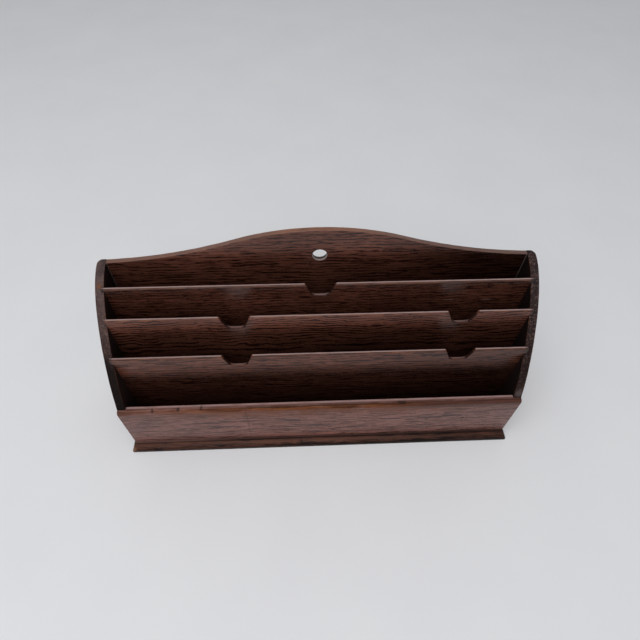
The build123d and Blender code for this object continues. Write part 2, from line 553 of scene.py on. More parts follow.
# The base board: one moulded profile carried round the front and both ends
def make_base(material):
    low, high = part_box("base_board")
    seed = SEEDS["base_board"]
    side_room = high.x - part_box("front_board")[1].x
    profile = [(SMALL_ROUND, 0), (0, SMALL_ROUND)]
    for k in range(2 * ROUND_STEPS + 1):
        a = math.pi / 2 * k / (2 * ROUND_STEPS)
        drop = NOSE_RADIUS * (1 - math.sin(a))
        profile.append((NOSE_RADIUS * (1 - math.cos(a)), LEDGE_HEIGHT - drop))
    for k in range(ROUND_STEPS + 1):
        a = math.pi / 2 * k / ROUND_STEPS
        rise = COVE_RADIUS * (1 - math.cos(a))
        profile.append((RISER_INSET - COVE_RADIUS * (1 - math.sin(a)), LEDGE_HEIGHT + rise))
    profile.append((RISER_INSET, high.z))
    mesh = bmesh.new()
    rubbed = mesh.verts.layers.float.new("edge")
    rings = []
    for inset, level in profile:
        ring = []
        for p, out in base_plan(low, high, inset, min(inset, side_room)):
            spot = Vector((p.x, p.y, level))
            swing = noise.noise(spot / WEAR_PITCH + Vector((seed, 0, 0)))
            rub = 2 * WOBBLE * (1 + swing) * (SMALL_ROUND < level < high.z)
            v = mesh.verts.new(spot - Vector((out.x, out.y, 0)) * rub)
            v[rubbed] = math.exp(-((level - LEDGE_HEIGHT) / NOSE_WEAR) ** 2)
            ring.append(v)
        rings.append(ring)
    skin(mesh, rings)
    piece = piece_from(mesh, "base_board", material)
    hole = (
        (SCREW_HEAD_RADIUS, -OVERRUN),
        (SCREW_HEAD_RADIUS, SCREW_SINK),
        (SCREW_HOLE_RADIUS, SCREW_SINK + SCREW_HEAD_HEIGHT),
        (SCREW_HOLE_RADIUS, high.z + OVERRUN),
    )
    cut(piece, [turned_cutter(p, Vector((0, 0, 1)), hole) for p in screw_places()])
    weight_normals(piece)


# Plan of the base at one inset, from the rear left round the front, with each point's outward direction
def base_plan(low, high, front_inset, side_inset):
    corner = max(BASE_CORNER - front_inset, SMALL_ROUND)
    half = high.x - side_inset
    front = low.y + front_inset
    points = []
    for side in (-1, 1):
        straight = round((high.y - low.y - BASE_CORNER) / OUTLINE_STEP)
        flank = []
        for k in range(straight):
            y = high.y + (front + corner - high.y) * k / straight
            flank.append((Vector((side * half, y)), Vector((side, 0))))
        bend = []
        for k in range(CORNER_STEPS + 1):
            a = math.pi / 2 * k / CORNER_STEPS
            out = Vector((side * math.cos(a), -math.sin(a)))
            bend.append((Vector((side * (half - corner), front + corner)) + out * corner, out))
        points.append(flank + bend)
    count = round((high.x - low.x) / OUTLINE_STEP)
    start = points[0][-1][0]
    end = points[1][-1][0]
    across = [(start.lerp(end, k / count), Vector((0, -1))) for k in range(1, count)]
    return points[0] + across + points[1][::-1]


# Sockets of a mix node that mixes colours
MIX_SHARE, MIX_A, MIX_B, MIX_RESULT = 0, 6, 7, 2


# A material and its node tree, with short ways to add nodes
class Graph:
    def __init__(self, name):
        self.material = bpy.data.materials.new(name)
        self.material.use_nodes = True
        self.tree = self.material.node_tree
        self.tree.nodes.clear()

    def add(self, kind, inputs=None, **settings):
        node = self.tree.nodes.new("ShaderNode" + kind)
        for key, value in settings.items():
            setattr(node, key, value)
        for key, value in (inputs or {}).items():
            self.feed(node.inputs[key], value)
        return node

    def feed(self, socket, value):
        if isinstance(value, bpy.types.NodeSocket):
            self.tree.links.new(value, socket)
        elif socket.type == "RGBA" and len(value) == 3:
            socket.default_value = (*value, 1.0)
        else:
            socket.default_value = value

    def math(self, operation, a, b=0.0, c=0.0):
        return self.add("Math", {0: a, 1: b, 2: c}, operation=operation).outputs[0]

    # Product of all the values
    def times(self, value, *others):
        for other in others:
            value = self.math("MULTIPLY", value, other)
        return value

    # A value times a share, added to a start
    def fused(self, value, share, start):
        return self.math("MULTIPLY_ADD", value, share, start)

    def vector(self, operation, a, b=(0, 0, 0)):
        return self.add("VectorMath", {0: a, 1: b}, operation=operation).outputs["Vector"]

    def length(self, vector):
        return self.add("VectorMath", {0: vector}, operation="LENGTH").outputs["Value"]

    def axes(self, vector):
        return self.add("SeparateXYZ", {0: vector}).outputs

    def noise(self, place, scale, detail=2.0, roughness=0.5):
        scaled = self.vector("MULTIPLY", place, scale)
        inputs = {"Vector": scaled, "Scale": 1.0, "Detail": detail, "Roughness": roughness}
        return self.add("TexNoise", inputs).outputs[0]

    def between(self, value, low, high, to_low=0.0, to_high=1.0):
        inputs = {"Value": value, "From Min": low, "From Max": high, "To Min": to_low, "To Max": to_high}
        return self.add("MapRange", inputs, interpolation_type="SMOOTHSTEP").outputs[0]

    def mix(self, share, a, b, blend="MIX"):
        node = self.add("Mix", data_type="RGBA", blend_type=blend)
        self.feed(node.inputs[MIX_SHARE], share)
        self.feed(node.inputs[MIX_A], a)
        self.feed(node.inputs[MIX_B], b)
        return node.outputs[MIX_RESULT]

    def ramp(self, value, stops):
        node = self.add("ValToRGB", {"Fac": value})
        elements = node.color_ramp.elements
        while len(elements) < len(stops):
            elements.new(0.5)
        for element, (position, colour) in zip(elements, stops):
            element.position = position
            element.color = (*colour, 1.0)
        return node.outputs[0]

    def finish(self, shader):
        self.add("OutputMaterial", {"Surface": shader})
        return self.material


# Noises of the oak: cells per millimetre along, across and through the grain, detail and roughness
SWAY = ((0.014, 0.03, 0.03), 1.0)
RIPPLE = ((0.055, 0.07, 0.07), 1.0)
LINES = ((0.03, 0.62, 0.62), 2.0)
DASHES = ((0.1, 1.05, 1.05), 3.0, 0.6)
FIBRES = ((0.2, 2.3, 2.3), 3.0, 0.6)
BREAKS = ((0.03, 0.22, 0.22), 2.0)
PATCHES = ((0.06, 0.11, 0.11), 4.0, 0.62)
SPECKS = ((0.45, 0.8, 0.8), 3.0, 0.6)
BLOTCHES = ((0.011, 0.022, 0.022), 3.0, 0.55)
PORES = ((0.12, 3.4, 3.4), 2.0)
STREAKS = ((0.03, 0.6, 0.6), 3.0, 0.65)

# How far the grain shifts with each seed and wanders, in millimetres, and where each noise sets in
SEED_STEP = (37.0, 11.0, 5.0)
SWAY_REACH, RIPPLE_REACH = 5.0, 2.6
LINE_EDGE = (0.4, 0.52)
DASH_EDGE = (0.4, 0.54)
BREAK_EDGE = (0.3, 0.5)
RING_EDGE = (0.36, 0.06)
PORE_EDGE = (0.54, 0.68)
BLOTCH_SHADE = (0.3, 0.7, 0.82, 1.18)
WORN_THROUGH = (0.25, 0.6, 0.55, 1.0)

# Shares of the grain in the oak's colour, roughness and relief
LINE_WEIGHT, DASH_WEIGHT, FIBRE_WEIGHT, RING_WEIGHT = 0.68, 0.62, 0.26, 0.7
PORE_SHARE, PORE_ROUGH, FIBRE_ROUGH = 0.45, 0.2, 0.12
LINE_RELIEF, DASH_RELIEF, PORE_RELIEF = 0.5, 0.5, -0.5
RUB_SPECK, RUB_PATCH, RUB_DULL = 0.45, 0.8, 0.6
MARK_SPECK, MARK_FIBRE, MARK_EDGE, MARK_DULL = 1.2, 1.6, (2.5, 1.8), 0.2
BUMP_STRENGTH, BUMP_DEPTH = 0.3, 0.15 * MM

# Colours of the oak from its darkest lines to its lightest wood, and of wood rubbed bare
OAK_COLOURS = (
    (0.08, (0.024, 0.0068, 0.0046)),
    (0.36, (0.06, 0.0174, 0.0112)),
    (0.62, (0.12, 0.0372, 0.0236)),
    (0.92, (0.22, 0.08, 0.051)),
)
BARE_COLOURS = (
    (0.36, (0.03, 0.0095, 0.005)),
    (0.5, (0.115, 0.037, 0.014)),
    (0.64, (0.24, 0.085, 0.032)),
)
PORE_COLOUR = (0.006, 0.0022, 0.0018)
DARK = (0.012, 0.005, 0.004)


# Stained oak, in millimetres. Grain axes are along, across and through the board.
class Oak(Graph):
    def __init__(self, name, grain, seed, tone=1.0, wave=2.0, lines=1.0, dashes=1.0, figure=1.0,
                 ring=3.9, pith=(-150, 60)):
        super().__init__(name)
        self.place = self.vector("MULTIPLY", self.add("TexCoord").outputs["Object"], TO_MM)
        self.at = self.axes(self.place)
        self.normal = self.axes(self.add("NewGeometry").outputs["Normal"])
        along, across, through = (self.at[axis] for axis in grain)
        turned = self.add("CombineXYZ", {0: along, 1: across, 2: through}).outputs[0]
        self.p = self.vector("ADD", turned, tuple(step * seed for step in SEED_STEP))

        # The grain wanders across the board
        sway = self.math("SUBTRACT", self.noise(self.p, *SWAY), 0.5)
        ripple = self.math("SUBTRACT", self.noise(self.p, *RIPPLE), 0.5)
        wander = self.fused(ripple, RIPPLE_REACH * wave, self.times(sway, SWAY_REACH * wave))
        sideways = self.add("CombineXYZ", {0: 0.0, 1: wander, 2: wander}).outputs[0]
        wandering = self.vector("ADD", self.p, sideways)

        # Lines, dashes, fibres and growth rings
        line = self.between(self.noise(wandering, *LINES), *LINE_EDGE)
        dash = self.between(self.noise(wandering, *DASHES), *DASH_EDGE)
        self.fine = self.noise(wandering, *FIBRES)
        from_pith = self.add("CombineXYZ", {
            0: 0.0,
            1: self.math("SUBTRACT", self.math("ADD", across, wander), pith[0]),
            2: self.math("SUBTRACT", through, pith[1]),
        }).outputs[0]
        year = self.math("PINGPONG", self.math("DIVIDE", self.length(from_pith), ring), 0.5)
        broken = self.between(self.noise(wandering, *BREAKS), *BREAK_EDGE)
        growth = self.math("SUBTRACT", 1.0, self.times(self.between(year, *RING_EDGE), broken))
        weights = (LINE_WEIGHT * lines, DASH_WEIGHT * dashes, FIBRE_WEIGHT, RING_WEIGHT * figure)
        depth = 0.5 - 0.5 * sum(weights)
        for value, weight in zip((line, dash, self.fine, growth), weights):
            depth = self.fused(value, weight, depth)
        self.colour = self.ramp(depth, [(stop, [c * tone for c in colour]) for stop, colour in OAK_COLOURS])

        # Uneven stain and open pores
        self.patch = self.noise(self.p, *PATCHES)
        self.speck = self.noise(self.p, *SPECKS)
        self.shade(self.between(self.noise(self.p, *BLOTCHES), *BLOTCH_SHADE))
        pores = self.between(self.noise(wandering, *PORES), *PORE_EDGE)
        self.colour = self.mix(self.times(pores, PORE_SHARE), self.colour, PORE_COLOUR)
        self.rough = self.fused(self.fine, FIBRE_ROUGH, self.times(pores, PORE_ROUGH))
        self.relief = self.fused(line, LINE_RELIEF, self.times(dash, DASH_RELIEF))
        self.relief = self.fused(pores, PORE_RELIEF, self.relief)

    # Darken or lighten by a value
    def shade(self, value):
        grey = self.add("CombineColor", {0: value, 1: value, 2: value}).outputs[0]
        self.tinge(1.0, grey)

    # Multiply with a colour by a mask
    def tinge(self, mask, colour):
        self.colour = self.mix(mask, self.colour, colour, "MULTIPLY")

    # Paint over by a mask, with its own roughness
    def paint(self, mask, colour, dull=0.0):
        self.colour = self.mix(mask, self.colour, colour)
        self.rough = self.fused(mask, dull, self.rough)

    # Darkening that grows between two places along an axis
    def darken_along(self, axis, clean, dirty, left, where=1.0):
        dark = self.between(self.at[axis], clean, dirty, 0.0, left - 1.0)
        self.shade(self.fused(dark, where, 1.0))

    # Surfaces that face up painted paler or duller: painted highlight and sheen from above, mixed with dust
    # and wear
    def tops(self, colour, share, start=0.72, full=0.97):
        upward = self.between(self.normal[Z], start, full)
        self.paint(self.times(upward, self.between(self.patch, *WORN_THROUGH), share), colour)

    # Edges rubbed to bare wood
    def rub(self, share, low=0.45, high=0.75):
        rubbed = self.add("Attribute", attribute_name="edge").outputs["Fac"]
        ragged = self.fused(self.speck, RUB_SPECK, self.times(self.patch, RUB_PATCH))
        bare = self.ramp(self.noise(self.p, *STREAKS), BARE_COLOURS)
        self.paint(self.times(rubbed, self.between(ragged, low, high), share), bare, RUB_DULL)

    # Stains, nicks and scratches, each inside an ellipsoid
    def mark(self, marks):
        for centre, size, colour, share in marks:
            near = self.vector("DIVIDE", self.vector("SUBTRACT", self.place, centre), size)
            ragged = self.fused(self.fine, MARK_FIBRE, self.fused(self.speck, MARK_SPECK, self.length(near)))
            self.paint(self.between(ragged, *MARK_EDGE, 0.0, share), colour, MARK_DULL)

    def done(self, polish, rough=0.07):
        bump = {"Height": self.relief, "Strength": BUMP_STRENGTH, "Distance": BUMP_DEPTH}
        shader = self.add("BsdfPrincipled", {
            "Base Color": self.colour,
            "Roughness": self.math("ADD", self.rough, rough),
            "Normal": self.add("Bump", bump).outputs[0],
            "Specular IOR Level": polish,
        })
        return self.finish(shader.outputs[0])


# Half the room between the ends, in millimetres
INNER_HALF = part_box("right_end")[0].x / MM

# Looks of the dividers: depths from their own tops and fronts, and ranges of the normal
# Colours of the painted highlights along the top and along the notch floors
HIGHLIGHT_LINE, NOTCH_HIGHLIGHT = (0.42, 0.3, 0.285), (0.3, 0.23, 0.22)
CROWN_START, CROWN_FULL, CROWN_SHARE = 2.5, 1.5, 0.95
LINE_START, LINE_FULL, LINE_FACING = 0.9, 1.5, (0.93, 0.995)
DIVIDER_RUB = 0.8
NOTCH_START, NOTCH_FULL = 1.8, 3.0
WALL_RISE, WALL_FALL, WALL_SHARE, WALL_DULL = (0.08, 0.3), (0.9, 0.75), 0.8, 0.3
BEND_FACING = (0.7, 0.85)
TIP_BLEND, TIP_SHADE = 0.7, -0.55
SCRATCH = (0.16, 0.1, 0.085)
# The spans that darken each divider along z and x are painted shade, in its pocket and towards the right
DIVIDERS = {
    "front_divider": dict(
        polish=0.3, notch_floor_highlight=0.15, darken_along=((Z, 112, 88, 0.26), (X, -60, 180, 0.75)), marks=(),
        figure=dict(tone=0.64, wave=1.0, lines=1.0, dashes=1.0, figure=0.9, ring=3.5),
    ),
    "middle_divider": dict(
        polish=0.3, notch_floor_highlight=0.2, darken_along=((Z, 149, 130, 0.4), (X, -60, 180, 0.8)), marks=(),
        figure=dict(tone=0.73, wave=2.7, lines=0.8, dashes=0.8, figure=1.3, ring=2.3, pith=(95, 46)),
    ),
    "rear_divider": dict(
        polish=0.4, notch_floor_highlight=0.3, darken_along=((Z, 150, 168, 0.82), (X, 0, 180, 0.8)),
        marks=(
            ((148.0, 21.4, 146.0), (6.0, 3.0, 0.9), SCRATCH, 0.7),
            ((114.0, 21.4, 147.0), (7.0, 3.0, 0.8), SCRATCH, 0.5),
        ),
        figure=dict(tone=0.45, wave=0.9, lines=0.5, dashes=1.0, figure=0.5, ring=3.4),
    ),
}


# Oak of one divider: a painted highlight along its top, dark walls in its notches, painted shade on the tips
# in the grooves
def divider_oak(node, polish, notch_floor_highlight, darken_along, marks, figure):
    low, high = (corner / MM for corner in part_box(node))
    oak = Oak("oak_" + node, FACE, SEEDS[node], **figure)
    across, deep, height = oak.at
    upward = oak.normal[Z]
    # Painted shade: darker along z in the pocket and along x towards the right
    for span in darken_along:
        oak.darken_along(*span)
    # Painted highlight: a thin pale line along the rear arris of the top, fainter on the notch floors
    crown = oak.between(height, high.z - CROWN_START, high.z - CROWN_FULL, notch_floor_highlight, CROWN_SHARE)
    behind = oak.between(deep, low.y + LINE_START, low.y + LINE_FULL)
    oak.tops(HIGHLIGHT_LINE, oak.times(crown, behind), *LINE_FACING)
    oak.rub(DIVIDER_RUB)
    wall = oak.times(oak.between(upward, *WALL_RISE), oak.between(upward, *WALL_FALL))
    notched = oak.between(height, high.z - NOTCH_START, high.z - NOTCH_FULL)
    oak.paint(oak.times(wall, notched, WALL_SHARE), DARK, WALL_DULL)
    # Painted highlight along the rear edge of each notch floor
    bend = oak.times(oak.between(upward, *BEND_FACING), behind)
    oak.paint(oak.times(bend, notched, notch_floor_highlight), NOTCH_HIGHLIGHT)
    # Painted shade, with some wear, on the tips inside the grooves
    sunk = oak.between(oak.math("ABSOLUTE", across), INNER_HALF - TIP_BLEND, INNER_HALF + TIP_BLEND)
    oak.shade(oak.fused(sunk, TIP_SHADE, 1.0))
    oak.mark(marks)
    return oak.done(polish)


# Looks of the front board: spans along it or up it, with the shares at their two ends
FRONT_FIGURE = dict(tone=0.84, wave=0.9, lines=1.7, dashes=0.5, figure=0.5, ring=3.2)
FRONT_POLISH, FRONT_ROUGH = 0.17, 0.12
PAINTED_SHEEN, PAINTED_SHEEN_SPAN, PAINTED_SHEEN_FACING = (0.126, 0.079, 0.079), (30, 130, 0.4, 0.55), (-0.4, -0.8)
LINE_CONTRAST = (0.1, 0.9, 0.72, 1.42)
WARM_TINGE, WARM_LINES = (1.05, 0.7, 0.55), (0.75, 0.2)
FRONT_FOOT_SHADE, FOOT_SPAN = (14, 10.5, 0.35), (-150, -60, 0.15, 1.0)
FRONT_RIGHT_SHADE = (40, 180, 0.9)
BROWN, BROWN_HEIGHT, BROWN_DULL = (0.135, 0.04, 0.015), (49, 65), 0.1
BROWN_PATCH, BROWN_SPAN = (0.32, 0.58, 0.25, 0.9), (170, 70, 0.3, 1.0)
TOP_DUST_AND_SHEEN, TOP_BROWN, TOP_PATCH = (0.165, 0.1, 0.093), (0.105, 0.046, 0.036), (0.36, 0.58)
TOP_HIGHLIGHT, HIGHLIGHT_START, HIGHLIGHT_FULL = (0.36, 0.235, 0.225), 2.9, 1.3
FRONT_TOP = (0.9, 0.96, 0.998)
FRONT_RUB = (0.97, 0.34, 0.66)
STREAK_SPAN, STREAK_RISE, STREAK_FALL = (-110, -40, 0.45), (0.8, 0.9), (0.998, 0.97)
BAND, BAND_SPAN = (0.058, 0.02, 0.0125), (40, 105, 0.0, 0.8)
BAND_HEIGHT, BAND_FACING = (62, 65), (0.99, 0.93)
FRONT_MARKS = (
    ((-71, -41.3, 45), (0.6, 4, 40), DARK, 0.45),
    ((138.1, -41.3, 40.6), (1.9, 4, 1.6), DARK, 0.8),
    ((102.0, -41.3, 39.9), (3.0, 4, 1.7), DARK, 0.6),
    ((-156.0, -39.2, 70.9), (1.5, 3.0, 2.4), DARK, 0.8),
    ((-132.5, -38.6, 70.9), (1.7, 3.2, 2.4), DARK, 0.8),
    ((-111.6, -37.8, 70.9), (1.4, 3.0, 2.4), DARK, 0.6),
    ((74.7, -38.2, 70.9), (4.8, 2.2, 2.4), DARK, 0.7),
)


# Oak of the front board: a painted sheen on its face, browner under the worn top
def front_oak():
    oak = Oak("oak_front", FACE, SEEDS["front_board"], **FRONT_FIGURE)
    along, deep, height = oak.at
    upward = oak.normal[Z]
    from_middle = oak.math("ABSOLUTE", along)
    # Painted sheen: a pale mauve veil on the face stands in for the reflection of the pale floor
    facing = oak.between(oak.normal[Y], *PAINTED_SHEEN_FACING)
    oak.paint(oak.times(facing, oak.between(from_middle, *PAINTED_SHEEN_SPAN)), PAINTED_SHEEN)
    oak.shade(oak.between(oak.relief, *LINE_CONTRAST))
    oak.tinge(oak.between(oak.relief, *WARM_LINES), WARM_TINGE)
    # Painted shade: darker at the foot of the face, less at the left, and towards the right
    oak.darken_along(Z, *FRONT_FOOT_SHADE, oak.between(along, *FOOT_SPAN))
    oak.darken_along(X, *FRONT_RIGHT_SHADE)
    browned = oak.times(oak.between(height, *BROWN_HEIGHT), oak.between(oak.patch, *BROWN_PATCH))
    oak.paint(oak.times(browned, oak.between(from_middle, *BROWN_SPAN)), BROWN, BROWN_DULL)
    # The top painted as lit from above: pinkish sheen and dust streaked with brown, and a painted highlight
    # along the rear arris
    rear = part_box("front_board")[1].y / MM
    streaked = oak.mix(oak.between(oak.patch, *TOP_PATCH), TOP_DUST_AND_SHEEN, TOP_BROWN)
    at_rear = oak.between(deep, rear - HIGHLIGHT_START, rear - HIGHLIGHT_FULL)
    oak.tops(oak.mix(at_rear, streaked, TOP_HIGHLIGHT), *FRONT_TOP)
    oak.rub(*FRONT_RUB)
    streak = oak.times(oak.between(upward, *STREAK_FALL), oak.between(upward, *STREAK_RISE))
    oak.darken_along(X, *STREAK_SPAN, streak)
    band = oak.times(oak.between(height, *BAND_HEIGHT), oak.between(upward, *BAND_FACING))
    oak.paint(oak.times(band, oak.between(along, *BAND_SPAN)), BAND)
    oak.mark(FRONT_MARKS)
    return oak.done(FRONT_POLISH, FRONT_ROUGH)


# Looks of the ends: ranges of the normal and of the noises, and what differs from left to right, where the
# left end is painted as lit and the right end as in shade
END_FIGURE = dict(tone=0.7, wave=1.0, lines=0.7, dashes=0.8, figure=0.35, ring=3.0)
END_POLISH, END_ROUGH = 0.12, 0.35
INSIDE_FACING, INSIDE_SHARE, INSIDE_DULL = (-0.35, -0.8), 0.95, 0.3
NARROW_FACING, NARROW_REAR, NARROW_SHARE, NARROW_DULL = (0.75, 0.3), (0.6, 0.2), 0.85, 0.45
DUST_AND_SHEEN_FACING, DUST_AND_SHEEN_PATCH = (0.25, 0.85), (0.3, 0.6, 0.45, 1.0)
FLECK, FLECK_SPECK, FLECK_PATCH, FLECK_EDGE = (0.17, 0.135, 0.125), 0.75, 0.25, (0.53, 0.62)
END_RUB = (0.5, 0.5, 0.72)
END_FOOT_SHADE = (146, 104)
ENDS = {
    "left_end": dict(
        side=-1, inside_shade=(0.011, 0.0055, 0.0052), edge=(0.017, 0.011, 0.0115),
        dust_and_sheen=(0.088, 0.062, 0.061), flecks=0.5, foot_shade=0.15,
        marks=(((-184.5, 24.3, 172.2), (3.0, 4.0, 4.0), (0.2, 0.08, 0.035), 0.7),),
    ),
    "right_end": dict(
        side=1, inside_shade=(0.0035, 0.0024, 0.0024), edge=(0.009, 0.0074, 0.0084),
        dust_and_sheen=(0.019, 0.0155, 0.0175), flecks=0.6, foot_shade=0.6,
        marks=(((184.5, -37.0, 77.0), (5.0, 5.0, 6.0), (0.1, 0.078, 0.074), 0.7),),
    ),
}


# Oak of one end panel: dull dark edges with pale flecks, painted shade inside
def end_oak(node, side, inside_shade, edge, dust_and_sheen, flecks, foot_shade, marks):
    oak = Oak("oak_" + node, UPRIGHT, SEEDS[node], **END_FIGURE)
    outward = oak.times(oak.normal[X], side)
    # Painted shade on the inner faces, darker on the right end
    oak.paint(oak.times(oak.between(outward, *INSIDE_FACING), INSIDE_SHARE), inside_shade, INSIDE_DULL)
    sideways = oak.math("ABSOLUTE", outward)
    narrow = oak.times(oak.between(sideways, *NARROW_FACING), oak.between(oak.normal[Y], *NARROW_REAR))
    # The narrow edges' own dark colour, painted lighter on the left end as lit and darker on the right end
    # as in shade
    oak.paint(oak.times(narrow, NARROW_SHARE), edge, NARROW_DULL)
    # Painted sheen mixed with dust on the upward parts of the narrow edges
    upward = oak.times(narrow, oak.between(oak.normal[Z], *DUST_AND_SHEEN_FACING))
    oak.paint(oak.times(upward, oak.between(oak.patch, *DUST_AND_SHEEN_PATCH)), dust_and_sheen)
    fleck = oak.fused(oak.speck, FLECK_SPECK, oak.times(oak.patch, FLECK_PATCH))
    oak.paint(oak.times(narrow, oak.between(fleck, *FLECK_EDGE), flecks), FLECK)
    oak.rub(*END_RUB)
    # Painted shade lower down on the narrow edges, strongest on the right end
    oak.darken_along(Z, *END_FOOT_SHADE, foot_shade, narrow)
    oak.mark(marks)
    return oak.done(END_POLISH, END_ROUGH)


# Looks of the base: spans up its moulded edge and along it
BASE_FIGURE = dict(tone=0.34, wave=1.5)
BASE_POLISH, BASE_ROUGH = 0.14, 0.3
COVE_SPAN, COVE_SHARE, COVE_DULL = (6.3, 7.4), 0.85, 0.2
RISER, RISER_HEIGHT, RISER_SPAN, RISER_SHARE = (0.11, 0.055, 0.046), (7.0, 8.2), (-70, -150), 0.85
BASE_TOP, BASE_TOP_RANGE = (0.13, 0.06, 0.046), (0.55, 0.9, 0.99)
BASE_RUB = 0.25
BASE_RIGHT_SHADE = (-20, 150, 0.62)
NOSE_HEIGHT, NOSE_SHADE = (5.2, 3.6), (-150, 20, -0.3, -0.66)
BASE_MARKS = (
    ((-20.8, -46.0, 5.4), (2.4, 3.0, 1.8), DARK, 0.85),
    ((-24.4, -46.0, 4.6), (2.4, 3.0, 1.4), DARK, 0.7),
    ((-190.5, -46.5, 4.0), (3.5, 3.5, 4.0), (0.2, 0.1, 0.06), 0.8),
)


# Oak of the base: painted shade in the cove, worn along the nose
def base_oak():
    oak = Oak("oak_base", FLAT, SEEDS["base_board"], **BASE_FIGURE)
    along, _, height = oak.at
    # Painted shade in the cove under the front board
    oak.paint(oak.times(oak.between(height, *COVE_SPAN), COVE_SHARE), DARK, COVE_DULL)
    # Painted light: the riser paler towards the left end
    riser = oak.times(oak.between(height, *RISER_HEIGHT), oak.between(along, *RISER_SPAN))
    oak.paint(oak.times(riser, RISER_SHARE), RISER)
    # Ledge and nose tops painted paler: painted highlight mixed with dust
    oak.tops(BASE_TOP, *BASE_TOP_RANGE)
    oak.rub(BASE_RUB)
    # Painted shade towards the right
    oak.darken_along(X, *BASE_RIGHT_SHADE)
    # Painted shade on the lower nose, most at the right
    oak.shade(oak.fused(oak.between(height, *NOSE_HEIGHT), oak.between(along, *NOSE_SHADE), 1.0))
    oak.mark(BASE_MARKS)
    return oak.done(BASE_POLISH, BASE_ROUGH)


# Looks of the back: spans along it and up it, and depths from its front
BACK_FIGURE = dict(tone=0.66, wave=1.0, lines=0.9, dashes=0.9, figure=0.85, ring=3.4)
BACK_POLISH = 0.4
INNER_FACING = (-0.3, -0.8)
BACK_FOOT_SHADE, BACK_RIGHT_SHADE = (190, 177, 0.62), (0, 150, 0.26)
JOINT, JOINT_START, JOINT_FULL, JOINT_DULL = (0.12, 0.095, 0.095), 1.3, 0.7, 0.3
JOINT_PATCH = (0.35, 0.55, 0.3, 0.8)
LEFT_TOP, CREST_TOP, RIGHT_TOP = (0.19, 0.1, 0.075), (0.28, 0.125, 0.075), (0.14, 0.083, 0.07)
CREST_SPAN, RIGHT_SPAN, BACK_TOP_SHARE = (60, 15, 0.0, 0.75), (15, 120), 0.9
BACK_RUB = 0.5
WALL_OUTSIDE, WALL_INSIDE, HOLE_FACING = 1.0, 0.5, (-0.8, -0.4)
HOLE_LIT, HOLE_SHADE = (0.26, 0.21, 0.2), (0.02, 0.016, 0.015)
HOLE_START, HOLE_FULL, HOLE_SHARE, HOLE_DULL = 1.2, 2.6, 0.9, 0.2


# Oak of the back: its top is painted as lit from above, from bare orange wood on the left and crest to a
# pinkish brown painted sheen on the right
def back_oak():
    oak = Oak("oak_back", FACE, SEEDS["back_board"], **BACK_FIGURE)
    along, deep, _ = oak.at
    inner = oak.between(oak.normal[Y], *INNER_FACING)
    # Painted shade on the inner face: darker lower down and towards the right
    oak.darken_along(Z, *BACK_FOOT_SHADE, inner)
    oak.darken_along(X, *BACK_RIGHT_SHADE, inner)
    from_middle = oak.math("ABSOLUTE", along)
    joint = oak.between(from_middle, INNER_HALF - JOINT_START, INNER_HALF - JOINT_FULL)
    oak.paint(oak.times(joint, oak.between(oak.patch, *JOINT_PATCH), inner), JOINT, JOINT_DULL)
    # The top painted as lit from above: bare orange wood on the left and crest, pinkish brown painted sheen
    # on the right
    left = oak.mix(oak.between(from_middle, *CREST_SPAN), LEFT_TOP, CREST_TOP)
    oak.tops(oak.mix(oak.between(along, *RIGHT_SPAN), left, RIGHT_TOP), BACK_TOP_SHARE)
    oak.rub(BACK_RUB)

    # The wall of the hole: painted light at its front rim, painted shade deeper in
    bore = [p / MM for p in flat_outlines("back_board", Y, 1)[1]]
    level = sum(p.z for p in bore) / len(bore)
    radius = max(p.z for p in bore) - level
    from_centre = oak.vector("MULTIPLY", oak.vector("SUBTRACT", oak.place, (0, 0, level)), (1, 0, 1))
    around = oak.between(oak.length(from_centre), radius + WALL_OUTSIDE, radius + WALL_INSIDE)
    wall = oak.times(around, oak.between(oak.normal[Y], *HOLE_FACING), HOLE_SHARE)
    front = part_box("back_board")[0].y / MM
    grey = oak.mix(oak.between(deep, front + HOLE_START, front + HOLE_FULL), HOLE_LIT, HOLE_SHADE)
    oak.paint(wall, grey, HOLE_DULL)
    return oak.done(BACK_POLISH)


# Aged steel: noises per millimetre, and what rust does to it
STEEL_PATCHES = ((0.5, 0.5, 0.5), 4.0, 0.6)
STEEL_GRAIN = ((3.0, 3.0, 3.0), 4.0, 0.6)
STEEL_SHADE = (0.45, 0.42, 0.4)
STEEL_ROUGH, STEEL_GRAIN_ROUGH = 0.3, 0.3
STEEL_BUMP, STEEL_BUMP_DEPTH = 0.4, 0.05 * MM
RUST, RUST_GRAIN, RUST_EDGE = (0.11, 0.045, 0.02), 0.35, (0.62, 0.86)
RUST_ROUGH, RUST_METAL = 0.35, -0.8
SCREW_STEEL, PIN_STEEL = (0.36, 0.34, 0.32), (0.22, 0.2, 0.19)


# Dull aged steel with rust in patches
def old_steel(name, colour):
    g = Graph(name)
    p = g.vector("MULTIPLY", g.add("TexCoord").outputs["Object"], TO_MM)
    fine = g.noise(p, *STEEL_GRAIN)
    rust = g.between(g.fused(fine, RUST_GRAIN, g.noise(p, *STEEL_PATCHES)), *RUST_EDGE)
    dark = tuple(c * share for c, share in zip(colour, STEEL_SHADE))
    bump = {"Height": g.math("ADD", fine, rust), "Strength": STEEL_BUMP, "Distance": STEEL_BUMP_DEPTH}
    shader = g.add("BsdfPrincipled", {
        "Base Color": g.mix(rust, g.mix(fine, dark, colour), RUST),
        "Roughness": g.fused(rust, RUST_ROUGH, g.fused(fine, STEEL_GRAIN_ROUGH, STEEL_ROUGH)),
        "Metallic": g.fused(rust, RUST_METAL, 1.0),
        "Normal": g.add("Bump", bump).outputs[0],
    })
    return g.finish(shader.outputs[0])


